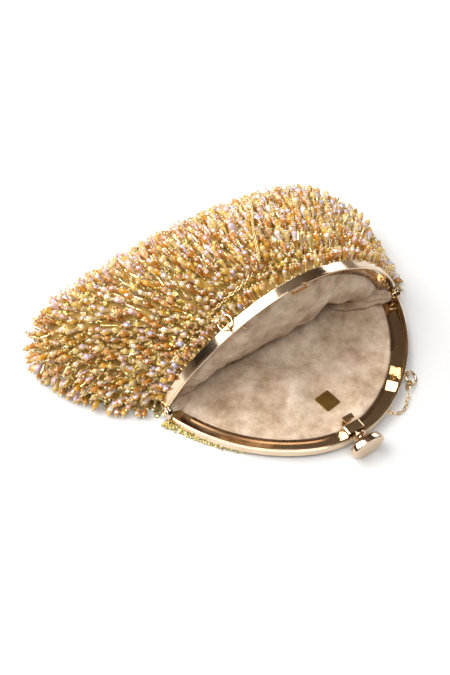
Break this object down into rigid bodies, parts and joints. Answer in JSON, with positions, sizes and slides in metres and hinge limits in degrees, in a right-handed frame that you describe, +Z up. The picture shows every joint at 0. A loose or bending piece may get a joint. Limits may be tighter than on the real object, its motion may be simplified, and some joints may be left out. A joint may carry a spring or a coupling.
{
  "type": "evening bag",
  "caption": "Beaded evening pouch lying open on a hinged arched metal box frame, with a push-button latch, suede-like lining, ring loops and a short chain strap.",
  "frame": {"origin": "on the floor under the middle of the bag's box, without the chain", "axes": "+X along the hinge axis, +Y towards the foot of the bag, +Z up from the floor that the bag's back lies on"},
  "size_m": [0.2543, 0.2008, 0.0896],
  "materials": {
    "frame_gold": "polished pale gold plating",
    "hardware_gold": "polished gold plating",
    "chain_gold": "polished gold plating",
    "plate_brass": "antique brass with a bevelled edge",
    "channel_brown": "gold plating in the shade of the channel",
    "spring_steel": "drawn wire",
    "beads": "faceted topaz glass with a pink and violet lustre coat",
    "bugles": "gold-lined glass bugle beads and seed beads",
    "sequins": "pale gold-green cupped sequins and seed beads",
    "gold_fabric": "woven gold ground cloth",
    "padding": "felted wadding",
    "lining": "brushed suede-like taupe cloth"
  },
  "bodies": {
    "root": {"back_frame": "frame_gold", "hinge_rivets": "frame_gold", "hinge_washers": "hardware_gold", "back_channel_strip": "channel_brown", "latch_housing": "hardware_gold", "clasp_bezel": "frame_gold", "button_spring": "spring_steel", "right_bracket": "hardware_gold", "right_loop": "hardware_gold", "back_fringe": "sequins", "front_fringe": "beads", "back_fabric": "gold_fabric", "front_fabric": "gold_fabric", "front_padding": "padding", "back_lining": "lining", "front_lining": "lining", "maker_plate": "plate_brass", "tail_links": "chain_gold", "chain_strap": "chain_gold"},
    "front_half": {"front_frame": "frame_gold", "front_channel_strip": "channel_brown", "catch_staple": "hardware_gold", "left_bracket": "hardware_gold", "left_loop": "hardware_gold", "front_fabric_band": "gold_fabric", "front_lining_band": "lining"},
    "button": {"clasp_button": "frame_gold", "latch_hook": "hardware_gold"},
    "left_ring": {"left_ring": "hardware_gold", "left_end_link": "chain_gold"},
    "right_ring": {"right_ring": "hardware_gold", "right_end_link": "chain_gold"}
  },
  "joints": [
    {"name": "frame_hinge", "type": "hinge", "parent": "root", "child": "front_half", "pos_m": [0.01801, -0.01129, 0.01], "axis": [1, 0, 0], "range_deg": [0, 80.7]},
    {"name": "button_press", "type": "slide", "parent": "root", "child": "button", "axis": [0, 1, 0], "range_m": [0, 0.0018], "stiffness_N_per_m": 400, "deforming": ["button_spring"]},
    {"name": "left_ring_swing", "type": "hinge", "parent": "front_half", "child": "left_ring", "pos_m": [-0.02958, -0.01738, 0.07007], "axis": [0.8106, -0.0946, 0.578], "range_deg": [0, 150]},
    {"name": "right_ring_swing", "type": "hinge", "parent": "root", "child": "right_ring", "pos_m": [0.07266, -0.06604, 0.0063], "axis": [-0.7638, -0.6455, 0], "range_deg": [-45, 98]}
  ]
}
